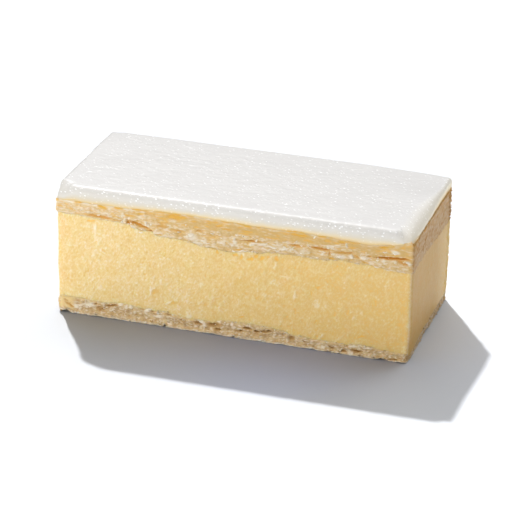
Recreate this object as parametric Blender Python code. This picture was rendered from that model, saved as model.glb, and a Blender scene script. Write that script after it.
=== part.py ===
"""Mille feuille slice: a bar of lower pastry, custard cream, upper pastry and white icing.

The slice lies along X with its cut front face towards -Y, and stands on z = 0. Each layer is one
closed solid. Neighbouring layers share a wavy seam and keep a small gap across it.
"""
import math

import bmesh
import bpy
from mathutils import Vector, noise

MM = 0.001

# Driving sizes of the whole slice
LENGTH = 117.0 * MM
WIDTH = 51.3 * MM
HEIGHT = 43.5 * MM
SEAM_GAP = 0.3 * MM

# Seam heights in mm at equal steps from the left end to the right end, along the front and the back
LOWER_SEAM_HEIGHTS = {
    "front": (5.8, 5.5, 5.6, 4.9, 3.8, 5.0, 5.2, 4.1, 4.4, 4.5, 3.8),
    "back": (4.6, 5.0, 5.4, 4.8, 4.5, 5.1, 5.3, 4.6, 4.9, 4.4, 3.6),
}
UPPER_SEAM_HEIGHTS = {
    "front": (34.5, 34.0, 33.6, 30.4, 29.8, 29.1, 31.0, 30.8, 31.6, 31.2, 31.4),
    "back": (31.6, 31.0, 30.2, 30.8, 31.4, 30.4, 29.8, 30.5, 30.9, 29.6, 28.6),
}
ICING_SEAM_HEIGHTS = {
    "front": (38.8, 39.0, 39.0, 39.0, 37.9, 38.0, 38.5, 39.1, 38.0, 37.7, 38.7),
    "back": (39.4, 39.6, 39.8, 39.5, 39.7, 39.9, 39.6, 39.8, 39.5, 39.7, 39.4),
}
ICING_TOP_HEIGHTS = {
    "front": (43.2, 43.4, 43.3, 43.4, 43.5, 43.4, 43.4, 43.3, 43.4, 43.5, 43.3),
    "back": (43.2, 43.3, 43.4, 43.5, 43.4, 43.5, 43.4, 43.3, 43.4, 43.4, 43.2),
}
ICING_LAP = 4.0 * MM            # how far in from the front face the icing hangs over the pastry
BASE_LIFT = 0.7 * MM            # how far the crumbly rim of the underside stands off the table
BASE_RIM = 4.5 * MM             # width of that rim; inside it the underside is flat

# How the skin of each block is cut into strips
EDGE_STRIPS = (0.8 * MM, 2.0 * MM, 4.2 * MM)
LENGTH_STRIPS = 28
WIDTH_STRIPS = 5

# Reach of each layer inside the box of the slice: left, right, front and back
ICING_INSET = (0.0 * MM, 0.0 * MM, 1.4 * MM, 0.0 * MM)
UPPER_INSET = (1.2 * MM, 0.9 * MM, 1.7 * MM, 0.6 * MM)
CUSTARD_INSET = (0.9 * MM, 0.8 * MM, 1.5 * MM, 0.3 * MM)
LOWER_INSET = (0.5 * MM, 1.2 * MM, 0.0 * MM, 0.2 * MM)

# Plan radius of the corners: front left, front right, back left and back right
ICING_CORNERS = (5.0 * MM, 3.0 * MM, 1.0 * MM, 1.0 * MM)
CUT_CORNERS = (2.0 * MM, 1.8 * MM, 1.0 * MM, 1.0 * MM)

ICING_ROLL = 2.0 * MM           # rounding between the icing's top and its sides
UPPER_ROWS = 8                  # rows of leaf edges and hollows that show on the upper pastry
LOWER_ROWS = 6
LEAF_STEP = 1.0 * MM            # how far the hollows between the leaves draw in
LEAF_SPAN = 6.0 * MM
CUSTARD_BELLY = 0.5 * MM        # how far the cream swells between the two pastries
PASTRY_BOW = 1.2 * MM           # how far the lower pastry's front bows out between its ends
UNDERCUT = 2.2 * MM             # how far the lower pastry's right end draws in at the back
WANDER = 0.35 * MM              # slow unevenness of every cut face
WANDER_SPAN = 11.0 * MM


def mix(start, end, share):
    return start + (end - start) * share


def smooth(share):
    share = min(max(share, 0.0), 1.0)
    return share * share * (3.0 - 2.0 * share)


def along(heights, share):
    """Height read from equally spaced stations, eased from one station to the next."""
    place = min(max(share, 0.0), 1.0) * (len(heights) - 1)
    station = min(int(place), len(heights) - 2)
    return MM * mix(heights[station], heights[station + 1], smooth(place - station))


def seam(heights, x, y):
    """Height of a seam at a place in plan, between its front and its back profile."""
    share_x = x / LENGTH + 0.5
    share_y = smooth(y / WIDTH + 0.5)
    return mix(along(heights["front"], share_x), along(heights["back"], share_x), share_y)


def underside(x, y):
    """Flat on the table, with a rim that lifts a little and unevenly towards the cut faces."""
    from_edge = min(LENGTH / 2 - abs(x), WIDTH / 2 - abs(y))
    lift = 0.5 + 0.5 * noise.noise(Vector((x, y, 0)) / WANDER_SPAN)
    return BASE_LIFT * lift * smooth(1 - from_edge / BASE_RIM)


def icing_seam(x, y):
    """The icing is level inside and hangs lower over the front edge of the pastry."""
    level = along(ICING_SEAM_HEIGHTS["back"], x / LENGTH + 0.5)
    lip = along(ICING_SEAM_HEIGHTS["front"], x / LENGTH + 0.5)
    return mix(lip, level, smooth((y + WIDTH / 2 - ICING_INSET[2]) / ICING_LAP))


def wander(x, y, z, seed):
    return WANDER * noise.noise(Vector((x, y, z)) / WANDER_SPAN + Vector((seed, 0, 0)))


def cut_block(height_cuts):
    """A unit block whose skin is cut into strips along its length, width and height."""
    mesh = bmesh.new()
    bmesh.ops.create_cube(mesh, size=1.0)
    bmesh.ops.translate(mesh, verts=mesh.verts, vec=(0.5, 0.5, 0.5))
    for axis, size, strips in ((0, LENGTH, LENGTH_STRIPS), (1, WIDTH, WIDTH_STRIPS)):
        edges = [strip / size for strip in EDGE_STRIPS]
        inner = [mix(edges[-1], 1 - edges[-1], step / strips) for step in range(1, strips)]
        cut_along(mesh, axis, edges + inner + [1 - edge for edge in edges])
    cut_along(mesh, 2, height_cuts)
    return mesh


def cut_along(mesh, axis, places):
    normal = Vector((0, 0, 0))
    normal[axis] = 1
    for place in places:
        skin = mesh.verts[:] + mesh.edges[:] + mesh.faces[:]
        bmesh.ops.bisect_plane(mesh, geom=skin, plane_co=normal * place, plane_no=normal)


def round_corner(x, y, radii):
    """Pulls a place in the square plan into the rounded corner that it lies in."""
    radius = radii[(1 if x > 0 else 0) + (2 if y > 0 else 0)]
    past_x = abs(x) - (LENGTH / 2 - radius)
    past_y = abs(y) - (WIDTH / 2 - radius)
    if past_x <= 0 or past_y <= 0:
        return x, y
    shrink = max(past_x, past_y) / math.hypot(past_x, past_y)
    x = math.copysign(LENGTH / 2 - radius + past_x * shrink, x)
    y = math.copysign(WIDTH / 2 - radius + past_y * shrink, y)
    return x, y


def layer(name, material, height_cuts, floor, top, insets, corners, skin):
    """One layer of the slice: a cut block, moved onto its seams and its four cut faces.

    skin(x, y, w) gives how far each face draws in there (left, right, front, back), and how far
    the upper surface drops.
    """
    mesh = cut_block(height_cuts)
    for vertex in mesh.verts:
        u, v, w = vertex.co
        x, y = round_corner((u - 0.5) * LENGTH, (v - 0.5) * WIDTH, corners)
        draw, drop = skin(x, y, w)
        left, right, front, back = [inset + more for inset, more in zip(insets, draw)]
        u = x / LENGTH + 0.5
        v = y / WIDTH + 0.5
        x = mix(-LENGTH / 2 + left, LENGTH / 2 - right, u)
        y = mix(-WIDTH / 2 + front, WIDTH / 2 - back, v)
        low = floor(x, y)
        vertex.co = (x, y, mix(low, top(x, y) - drop, w))
    bmesh.ops.recalc_face_normals(mesh, faces=mesh.faces)
    data = bpy.data.meshes.new(name)
    mesh.to_mesh(data)
    mesh.free()
    data.materials.append(material)
    body = bpy.data.objects.new(name, data)
    slice_parts.objects.link(body)
    return body


def faces_wander(x, y, w, seed):
    """Uneven draw of the four cut faces, never past the box of the slice."""
    along_y = wander(0, y, w * 0.03, seed) + WANDER / 2
    along_x = wander(x, 0, w * 0.03, seed + 7) + WANDER / 2
    return [max(0.0, amount) for amount in (along_y, along_y, along_x, along_x)]


def leaves(w, rows, x, y, seed):
    """Leaf edges of the pastry: every other row draws in between two leaves, some more than others."""
    row = round(w * rows)
    sway = 0.5 + 0.5 * noise.noise(Vector((x, y, 0)) / LEAF_SPAN + Vector((seed, row, 0)))
    return LEAF_STEP * (sway if row % 2 else 0.3 * sway)


def row_places(rows):
    """Height shares of the lines between the rows of a pastry."""
    return [row / rows for row in range(1, rows)]


def icing_skin(x, y, w):
    """Rolled upper edge: the side turns in and the top turns down within the roll."""
    draw = [0.0, 0.0, 0.0, 0.0]
    turn = math.pi / 2
    distances = (x + LENGTH / 2, LENGTH / 2 - x, y + WIDTH / 2, WIDTH / 2 - y)
    rolls = (ICING_ROLL, ICING_ROLL, ICING_ROLL, ICING_ROLL * 0.3)
    for face, (distance, roll) in enumerate(zip(distances, rolls)):
        if distance >= roll or w < 0.4:
            continue
        angle = math.pi / 4 * ((w - 0.4) / 0.6 + distance / roll)
        draw[face] = max(0.0, roll * (1 - math.cos(angle)) - distance)
        turn = min(turn, angle + math.pi / 2 * (1 - roll / ICING_ROLL))
    drop = ICING_ROLL * (1 - math.sin(turn)) if w == 1.0 else 0.0
    if 0.4 <= w < 1.0:
        drop = ICING_ROLL * (1 - math.sin(math.pi / 4)) if min(distances) < ICING_ROLL else 0.0
    return draw, drop


def upper_skin(x, y, w):
    draw = faces_wander(x, y, w, 3)
    step = leaves(w, UPPER_ROWS, x, y, 11)
    return [amount + step for amount in draw], 0.0


def custard_skin(x, y, w):
    draw = faces_wander(x, y, w, 5)
    swell = CUSTARD_BELLY * (1 - math.sin(math.pi * w))
    return [amount + swell for amount in draw], 0.0


def lower_skin(x, y, w):
    draw = faces_wander(x, y, w, 9)
    step = leaves(w, LOWER_ROWS, x, y, 17)
    draw = [amount + step for amount in draw]
    ends = abs(2 * x / LENGTH) ** 6
    draw[2] += PASTRY_BOW * ends
    draw[1] += UNDERCUT * smooth((y + WIDTH / 4) / (WIDTH / 4))
    return draw, 0.0


def finish_material(name, colour, roughness):
    material = bpy.data.materials.new(name)
    material.use_nodes = True
    shader = material.node_tree.nodes["Principled BSDF"]
    shader.inputs["Base Color"].default_value = (*colour, 1.0)
    shader.inputs["Roughness"].default_value = roughness
    shader.inputs["Metallic"].default_value = 0.0
    return material


for leftover in list(bpy.data.objects):
    bpy.data.objects.remove(leftover)

slice_parts = bpy.data.collections.new("mille_feuille_slice")
bpy.context.scene.collection.children.link(slice_parts)

white_fondant = finish_material("white_fondant", (0.83, 0.82, 0.80), 0.3)
pale_puff_pastry = finish_material("pale_puff_pastry", (0.72, 0.52, 0.24), 0.75)
custard_cream = finish_material("custard_cream", (0.88, 0.68, 0.28), 0.5)

half_gap = SEAM_GAP / 2

layer("lower_pastry", pale_puff_pastry, row_places(LOWER_ROWS),
      underside,
      lambda x, y: seam(LOWER_SEAM_HEIGHTS, x, y) - half_gap,
      LOWER_INSET, CUT_CORNERS, lower_skin)
layer("custard", custard_cream, (0.12, 0.3, 0.5, 0.7, 0.88),
      lambda x, y: seam(LOWER_SEAM_HEIGHTS, x, y) + half_gap,
      lambda x, y: seam(UPPER_SEAM_HEIGHTS, x, y) - half_gap,
      CUSTARD_INSET, CUT_CORNERS, custard_skin)
layer("upper_pastry", pale_puff_pastry, row_places(UPPER_ROWS),
      lambda x, y: seam(UPPER_SEAM_HEIGHTS, x, y) + half_gap,
      lambda x, y: icing_seam(x, y) - half_gap,
      UPPER_INSET, CUT_CORNERS, upper_skin)
layer("icing", white_fondant, (0.4, 0.7),
      lambda x, y: icing_seam(x, y) + half_gap,
      lambda x, y: seam(ICING_TOP_HEIGHTS, x, y),
      ICING_INSET, ICING_CORNERS, icing_skin)
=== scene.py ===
"""Looks of the mille feuille slice: cut custard, two sheets of puff pastry, fondant and its flakes.

Shapes are worked out in millimetres and turned to metres when each mesh is made. Every layer is a
block skin: rings of points round the slice, one above the other, between an under lid and an upper
lid. The seams between layers are read from the fixed frame, and each piece tears or pits its rings.
"""
from itertools import product

import bmesh
import bpy
import numpy as np
from mathutils import Matrix, Vector
from mathutils.bvhtree import BVHTree


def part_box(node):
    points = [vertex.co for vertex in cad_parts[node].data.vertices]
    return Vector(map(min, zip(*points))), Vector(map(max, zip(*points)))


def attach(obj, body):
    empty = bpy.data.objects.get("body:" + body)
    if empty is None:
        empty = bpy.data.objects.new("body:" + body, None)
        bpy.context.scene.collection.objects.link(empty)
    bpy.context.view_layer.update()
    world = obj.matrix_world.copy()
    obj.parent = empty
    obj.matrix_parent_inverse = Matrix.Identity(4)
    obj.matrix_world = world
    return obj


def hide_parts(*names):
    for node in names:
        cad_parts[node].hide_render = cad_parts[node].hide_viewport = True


MM = 0.001
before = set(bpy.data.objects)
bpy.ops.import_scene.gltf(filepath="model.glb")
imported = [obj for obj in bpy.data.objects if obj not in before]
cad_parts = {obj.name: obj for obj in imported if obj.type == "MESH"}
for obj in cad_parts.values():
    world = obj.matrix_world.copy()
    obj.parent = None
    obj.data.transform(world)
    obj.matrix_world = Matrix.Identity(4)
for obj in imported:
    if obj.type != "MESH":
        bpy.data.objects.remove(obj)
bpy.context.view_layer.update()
LAYERS = ("lower_pastry", "custard", "upper_pastry", "icing")
LOW, HIGH = {}, {}
for layer in LAYERS:
    low_corner, high_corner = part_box(layer)
    LOW[layer] = np.array(low_corner) / MM
    HIGH[layer] = np.array(high_corner) / MM
END = max(HIGH[layer][0] for layer in LAYERS)          # half the length of the slice
FACE = max(HIGH[layer][1] for layer in LAYERS)         # half its width
TOP = HIGH["icing"][2]
BOX_LOW = np.min([LOW[layer] for layer in LAYERS], axis=0)
BOX_HIGH = np.max([HIGH[layer] for layer in LAYERS], axis=0)


# ---------------------------------------------------------------- unevenness

def grain(points, seed):
    """Even random swells from -1 to 1, one unit across, at an array of points."""
    points = np.asarray(points, float)
    cell = np.floor(points).astype(np.int64)
    share = points - cell
    fade = share * share * share * (share * (share * 6 - 15) + 10)
    total = np.zeros(points.shape[:-1])
    for corner in product((0, 1), repeat=3):
        corner = np.array(corner)
        key = (cell + corner) * np.array([73856093, 19349663, 83492791])
        mixed = (key[..., 0] ^ key[..., 1] ^ key[..., 2] ^ (seed * 2654435761)) & 0xFFFFFFFF
        mixed = (mixed ^ (mixed >> 15)) * 0x2C1B3C6D & 0xFFFFFFFF
        mixed = (mixed ^ (mixed >> 12)) * 0x297A2D39 & 0xFFFFFFFF
        mixed ^= mixed >> 15
        away = share - corner
        slope = sum((((mixed >> bits) & 1023) / 511.5 - 1) * away[..., axis]
                    for axis, bits in enumerate((0, 10, 20)))
        total += slope * np.prod(np.where(corner, fade, 1 - fade), axis=-1)
    return np.clip(total * 1.6, -1, 1)


def rough(points, span, seed, octaves=3):
    """Swells of the given span in mm, one size or one for each axis, with finer ones on top."""
    total, height, whole = 0.0, 1.0, 0.0
    for octave in range(octaves):
        total = total + height * grain(points / (np.array(span) / 2 ** octave), seed + octave)
        whole += height
        height *= 0.5
    return total / whole


def ease(share):
    share = np.clip(share, 0, 1)
    return share * share * (3 - 2 * share)


def mix(start, end, share):
    return start + (end - start) * share


def patches(field, start, width):
    """1 where a field is well above start, 0 below it."""
    return ease((field - start) / width)


def ovals(marks, x, z):
    """Amount at places on the front of a list of ovals.

    Each is (place along, height, half length, half height, rise per mm along, amount).
    """
    total = np.zeros_like(x)
    for middle_x, middle_z, half_length, half_height, rise, amount in marks:
        along = (x - middle_x) / half_length
        across = (z - middle_z - rise * (x - middle_x)) / half_height
        total = np.maximum(total, amount * ease(1.45 - np.hypot(along, across)))
    return total


def stations(values, x):
    """A smooth line through values set at equal steps from the left end to the right end."""
    place = np.clip((x / END + 1) / 2, 0, 1) * (len(values) - 1)
    start = np.minimum(place.astype(int), len(values) - 2)
    values = np.array(values, float)
    return mix(values[start], values[start + 1], ease(place - start))


# ---------------------------------------------------------------- seams, read from the frame

def seam_between(under, over, skirt=1.0):
    """Heights of the seam between two layers of the frame, as a function of places in plan.

    skirt is how far inside the layers' edges the seam is read, where no bulging side is in the way.
    """
    names = [name for name in (under, over) if name]
    start = np.max([LOW[name] for name in names], axis=0) + skirt
    stop = np.min([HIGH[name] for name in names], axis=0) - skirt
    across = np.linspace(start[0], stop[0], 120)
    deep = np.linspace(start[1], stop[1], 56)
    surfaces = []
    for name, drop in ((under, -1), (over, 1)):
        if name is None:
            continue
        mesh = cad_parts[name].data
        tree = BVHTree.FromPolygons([v.co for v in mesh.vertices], [p.vertices for p in mesh.polygons])
        found = np.full((len(across), len(deep)), np.nan)
        for column, x in enumerate(across):
            for row, y in enumerate(deep):
                hit = tree.ray_cast(Vector((x * MM, y * MM, -drop * 0.1)), Vector((0, 0, drop)))[0]
                if hit:
                    found[column, row] = hit.z / MM
        for row in range(len(deep)):
            # Past a drawn-in end or corner, the last height goes on.
            there = ~np.isnan(found[:, row])
            if there.any():
                found[:, row] = np.interp(across, across[there], found[there, row])
        surfaces.append(found)
    heights = np.nanmean(surfaces, axis=0)
    for row in range(len(deep) // 2, -1, -1):
        heights[:, row] = np.where(np.isnan(heights[:, row]), heights[:, row + 1], heights[:, row])

    def height(x, y):
        column = np.clip((x - across[0]) / (across[1] - across[0]), 0, len(across) - 1.001)
        row = np.clip((y - deep[0]) / (deep[1] - deep[0]), 0, len(deep) - 1.001)
        left, front = column.astype(int), row.astype(int)
        u, v = column - left, row - front
        near = mix(heights[left, front], heights[left + 1, front], u)
        far = mix(heights[left, front + 1], heights[left + 1, front + 1], u)
        return mix(near, far, v)
    return height


# ---------------------------------------------------------------- block skins

def plan(u, v, reach, radii):
    """Places of a unit square's points in the slice's plan, with its corners rounded.

    reach is how far the plan stands left, right, front and back of the middle.
    """
    left, right, front, back = reach
    x, y = mix(-left, right, u), mix(-front, back, v)
    for radius, (side_x, side_y) in zip(radii, ((-1, -1), (1, -1), (-1, 1), (1, 1))):
        centre_x = (right - radius) if side_x > 0 else (radius - left)
        centre_y = (back - radius) if side_y > 0 else (radius - front)
        past_x, past_y = (x - centre_x) * side_x, (y - centre_y) * side_y
        inside = (past_x > 0) & (past_y > 0)
        shrink = np.maximum(past_x, past_y) / np.maximum(np.hypot(past_x, past_y), 1e-9)
        x = np.where(inside, centre_x + side_x * past_x * shrink, x)
        y = np.where(inside, centre_y + side_y * past_y * shrink, y)
    return x, y


class Block:
    """A layer's closed skin: rings round the slice, closed by an under lid and an upper lid.

    The ring has columns steps along the front and the back, and rows steps along each end.
    """

    def __init__(self, reach, radii, columns, rows):
        self.reach, self.radii, self.columns, self.rows = reach, radii, columns, rows
        u = np.concatenate([np.arange(columns), np.full(rows, columns),
                            np.arange(columns, 0, -1), np.zeros(rows)]) / columns
        v = np.concatenate([np.zeros(columns), np.arange(rows), np.full(columns, rows),
                            np.arange(rows, 0, -1)]) / rows
        self.x, self.y = plan(u, v, reach, radii)
        places = np.stack([self.x, self.y], -1)
        ahead = np.roll(places, -2, 0) - np.roll(places, 2, 0)
        ahead /= np.linalg.norm(ahead, axis=1, keepdims=True)
        self.out_x, self.out_y = ahead[:, 1], -ahead[:, 0]
        self.front, self.back = ease(-self.out_y), ease(self.out_y)
        self.left, self.right = ease(-self.out_x), ease(self.out_x)

    def rings(self, draw, height):
        """Rings drawn in from the outline by a distance, at a height."""
        return np.stack(np.broadcast_arrays(
            self.x - self.out_x * draw, self.y - self.out_y * draw, height), -1)

    def lid(self, every, inset, height):
        """A grid of points inside the outline, and their indices."""
        across, deep = self.columns // every, self.rows // every
        u, v = np.meshgrid(np.arange(across + 1) / across, np.arange(deep + 1) / deep,
                           indexing="ij")
        x, y = plan(u, v, [side - inset for side in self.reach],
                    [max(radius - inset, 0.3) for radius in self.radii])
        index = np.arange(x.size).reshape(x.shape)
        return np.stack([x, y, height(x, y)], -1).reshape(-1, 3), index

    def make(self, name, rings, under, upper):
        """The closed mesh. under and upper are (steps between lid points, inset, height rule)."""
        rings = np.array(rings)
        levels, count = rings.shape[:2]
        here = np.arange(count)
        after = np.roll(here, -1)
        faces = np.concatenate([
            np.stack([here, after, count + after, count + here], -1) + level * count
            for level in range(levels - 1)]).tolist()
        points, total = [rings.reshape(-1, 3)], levels * count
        for ring_start, lid, turn in ((0, under, -1), ((levels - 1) * count, upper, 1)):
            every, inset, height = lid
            grid, index = self.lid(every, inset, height)
            points.append(grid)
            index = index + total
            quads = np.stack([index[:-1, :-1], index[1:, :-1], index[1:, 1:], index[:-1, 1:]], -1)
            faces += quads.reshape(-1, 4)[:, ::turn].tolist()
            rim = np.concatenate([index[:-1, 0], index[-1, :-1], index[:0:-1, -1],
                                  index[0, :0:-1]])
            for step in range(len(rim)):
                edge = [ring_start + (step * every + k) % count for k in range(every + 1)]
                faces.append((edge + [rim[(step + 1) % len(rim)], rim[step]])[::turn])
            total += len(grid)
        return mesh_piece(name, np.concatenate(points), faces)


def mesh_piece(name, points, faces):
    """A smooth mesh from points in mm, kept inside the slice's own box."""
    mesh = bpy.data.meshes.new(name)
    points = np.clip(points, BOX_LOW, BOX_HIGH)
    mesh.from_pydata((points * MM).tolist(), [], faces)
    mesh.update()
    mesh.shade_smooth()
    piece = bpy.data.objects.new(name, mesh)
    bpy.context.scene.collection.objects.link(piece)
    return piece


def mark(piece, name, values, rest=0.0):
    """Stores one number a point for the material. Points past the given ones get the rest."""
    full = np.full(len(piece.data.vertices), rest, np.float32)
    full[:np.size(values)] = np.ravel(values)
    piece.data.attributes.new(name, "FLOAT", "POINT").data.foreach_set("value", full)


# ---------------------------------------------------------------- the slice

def drawn_at_front(seam, line):
    """A seam that follows a given line of heights along the front face, and the frame elsewhere."""
    def height(x, y):
        return mix(seam(x, y), stations(line, x), ease((-y - 8) / 14))
    return height


lower_seam = drawn_at_front(
    seam_between("lower_pastry", "custard"),
    (5.2, 5.0, 4.5, 5.1, 5.0, 4.5, 3.4, 3.5, 4.8, 4.9, 4.5, 3.3, 2.9, 2.9, 3.6, 2.6, 2.3))
upper_seam = drawn_at_front(
    seam_between("custard", "upper_pastry"),
    (34.3, 34.0, 33.7, 33.5, 31.6, 30.6, 30.2, 29.2, 28.9, 29.6, 30.6, 30.9, 30.6, 31.2, 30.9, 30.3, 30.2))
icing_lip = drawn_at_front(
    seam_between(None, "icing", 0.35),
    (38.2, 38.4, 38.2, 38.3, 38.6, 38.9, 39.0, 38.8, 38.6, 38.4, 38.4, 38.6, 38.3, 38.0, 37.6, 38.4, 40.2))
icing_seam = seam_between("upper_pastry", "icing")
underside = seam_between(None, "lower_pastry")


def reach_of(layer, draw):
    """How far a layer of the frame stands left, right, front and back, less a draw."""
    return (-LOW[layer][0] - draw, HIGH[layer][0] - draw, -LOW[layer][1] - draw,
            HIGH[layer][1] - draw)


def levels_between(block, low, high, levels):
    """Points of a block's side at even levels, and each point's share of the way up."""
    share = np.linspace(0, 1, levels)[:, None]
    z = mix(low, high, share)
    spot = np.stack([np.broadcast_to(block.x, z.shape), np.broadcast_to(block.y, z.shape), z], -1)
    return share, spot


# Smears and pits of the custard's front: along, height, half length, half height, rise, amount.
CUSTARD_SMEARS = (
    (-44.9, 30.3, 0.5, 1.5, 0, 1), (-42.5, 22.5, 1.1, 0.35, -0.6, 0.9),
    (-26.2, 11.6, 0.5, 1.3, 0.6, 1), (-20.6, 7.9, 1.3, 0.35, 0.7, 0.9),
    (-22.7, 15.4, 0.4, 1.2, 0, 0.8), (-13.6, 4.8, 0.8, 2.2, 0, 0.9),
    (-43.3, 9.5, 1.6, 0.9, 0.2, 0.6), (14.6, 26.8, 0.5, 2.2, -1.2, 0.9),
    (18.2, 23.0, 1.8, 0.4, -0.1, 0.9), (15.0, 20.6, 1.3, 0.8, 0, 0.7),
    (20.9, 17.4, 0.5, 1.8, 0.9, 1), (16.6, 17.4, 1.4, 0.7, 0.2, 0.7), (2.6, 20.3, 0.9, 0.6, 0, 0.7),
    (28.2, 15.4, 0.7, 1.6, 0, 0.7), (42.4, 14.7, 0.3, 0.9, 1, 0.9), (40.0, 12.5, 0.3, 0.6, 0.6, 0.9),
    (35.5, 4.5, 1.6, 0.5, 1, 0.8), (30.0, 4.6, 0.8, 0.6, 0.8, 0.7), (38.0, 29.2, 0.8, 0.35, 0.6, 0.9),
    (25.4, 29.4, 0.8, 0.5, 0, 0.9), (33.1, 26.8, 0.5, 0.4, 0, 0.9), (56.6, 4.1, 0.8, 1.6, 0, 0.8),
)
CUSTARD_PITS = (
    (-46.4, 32.6, 1.2, 0.28, 0.1, 1), (-41.9, 23.1, 1, 0.2, -0.7, 0.7), (42.8, 6.4, 1.1, 0.25, 0.3, 0.9),
    (3.9, 7.1, 0.8, 0.25, 0.3, 0.7), (-18.6, 8.2, 1.6, 0.6, 0.2, 0.4), (-25.0, 11.4, 1.2, 0.9, 0.3, 0.4),
    (1.4, 28.1, 0.9, 0.45, 0, 1), (3.4, 27.5, 0.5, 0.9, 0, 0.8), (6.3, 27.5, 1, 0.35, 0.2, 1),
    (8.3, 28.4, 0.5, 0.5, 0, 0.8), (10.4, 28.3, 0.6, 0.6, 0.3, 0.8), (14.6, 28.4, 0.6, 0.8, 0, 0.9),
    (-4.4, 28.3, 0.35, 0.8, 0, 0.8), (12.2, 29.0, 0.4, 0.4, 0, 0.8),
)


def custard_piece():
    """Set custard cream: a wire-cut block with curds, small air pits, soft lumps and drag marks."""
    left, right, front, back = reach_of("custard", -0.3)
    block = Block((left, right + 0.4, front, back), (1.0, 1.5, 1.0, 1.6), 360, 152)
    share, spot = levels_between(block, lower_seam(block.x, block.y) - 0.6,
                                 upper_seam(block.x, block.y) + 0.6, 80)
    x, z = spot[..., 0], spot[..., 2]
    calm = 1 - 0.45 * block.right
    lumps = rough(spot, 3.6, 21, 2)
    curds = rough(spot, (1.5, 1.5, 1.8), 31, 2)
    specks = patches(grain(spot / 0.85, 35), 0.30, 0.25)
    pits = patches(grain(spot / 0.8, 51), 0.42, 0.25) * patches(grain(spot / 7, 53), -0.25, 0.4)
    slant = np.stack([(0.87 * x - 0.5 * z) / 0.75, spot[..., 1] / 0.75, (0.5 * x + 0.87 * z) / 3.2], -1)
    drag = patches(grain(slant, 41), 0.22, 0.3) * patches(grain(spot / 8.0, 43), -0.1, 0.4)
    ragged = spot + 0.5 * np.stack([rough(spot, 1.4, seed, 1) for seed in (44, 45, 46)], -1)
    smear = block.front * ovals(CUSTARD_SMEARS, ragged[..., 0], ragged[..., 2])
    hole = block.front * ovals(CUSTARD_PITS, ragged[..., 0], ragged[..., 2])
    crumbly = patches(rough(spot, 1.6, 57, 2), -0.1, 0.4) * ease((share - 0.9) / 0.08)
    relief = 0.30 * rough(spot, (19, 19, 13), 11, 2) + 0.11 * lumps * calm + 0.055 * curds * calm
    relief += 0.04 * specks * calm - 0.12 * pits + 0.08 * drag * calm + 0.14 * smear - 0.15 * hole
    relief += 0.12 * crumbly
    torn_edge = block.right * ease((block.y - 19) / 4)
    relief -= 0.5 * torn_edge * patches(rough(spot, 1.0, 60, 2), 0.0, 0.3)
    swell = 0.25 * (1 - np.sin(np.pi * share))
    tuck = 0.5 * ease((z - upper_seam(block.x, block.y) - 0.2) / 0.4) + 0.4 * ease(
        (lower_seam(block.x, block.y) - 0.2 - z) / 0.4)
    rings = block.rings(swell + tuck - relief + 0.05, z)
    # Painted light and shade in the cream's tone: paler towards the left end and deeper towards the right,
    # paler on lumps, curds and specks, deeper yellow in pits and hollows; the pale specks are painted glints.
    # The smears, drag marks and crumbs are the cream's own colour.
    tone = stations((0.06, 0.09, 0.07, 0.0, -0.05, -0.09, -0.13), x) + 0.10 * lumps + 0.12 * curds + 0.14 * specks - 0.25 * pits + 0.10 * drag
    tone += 0.30 * smear - 0.8 * hole + 0.10 * crumbly
    # A painted highlight down the cream's front-right corner.
    tone += 0.9 * block.front * block.right
    rings = np.concatenate([block.rings(1.2, rings[:1, :, 2]), rings, block.rings(1.2, rings[-1:, :, 2])])
    piece = block.make("custard_cream", rings, (8, 3.0, lower_seam), (8, 3.0, upper_seam))
    # Painted shade on the right-hand cut end, less of it towards the back.
    end = np.broadcast_to(block.right * (1 - 0.7 * ease((block.y - 4) / 18)), z.shape)
    mark(piece, "curd_tone", np.concatenate([tone[:1], tone, tone[-1:]]), -0.1)
    mark(piece, "cut_end", np.concatenate([end[:1], end, end[-1:]]))
    return piece


# Hollows and raised flakes of the upper sheet's front edge, as the custard's smears. The deep crease hollows
# are dented and get brown painted shade.
CREASE_HOLLOWS = (
    (-43.5, 34.5, 5, 0.5, -0.05, 1.2), (-37.2, 34.1, 1.8, 0.3, 0.08, 0.8),
    (-30.2, 33.7, 4.0, 0.55, -0.3, 1.4), (-33.6, 33.3, 0.7, 1.4, -1.2, 1.6),
    (-31.6, 31.4, 1.8, 0.3, -0.45, 1.2), (-26.6, 31.4, 0.9, 1, 0.5, 1.8),
    (-22.5, 34.2, 2.2, 0.35, 0, 0.9), (-17.3, 33.5, 2.2, 0.45, -0.06, 0.9),
    (-10.2, 34.5, 1.3, 0.4, 0.1, 1), (-6.6, 33.1, 2.6, 0.8, 0.1, 0.5),
    (6.5, 33.5, 5, 0.25, 0.06, 1.2), (22.0, 34.2, 2.5, 0.35, 0.03, 1.1),
    (29.0, 34.3, 3.4, 0.42, -0.05, 1.4), (32.0, 33.2, 0.4, 0.9, 0, 1),
    (36.5, 34.1, 3.6, 0.32, 0.08, 1.1), (40.5, 33.4, 1.3, 0.45, -0.3, 0.8),
    (44.6, 33.9, 0.8, 0.35, 0, 1.2), (51.9, 34.4, 5.6, 0.42, 0.07, 1.8),
    (54.8, 33.5, 2, 0.7, -0.35, 1.2),
)
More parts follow.
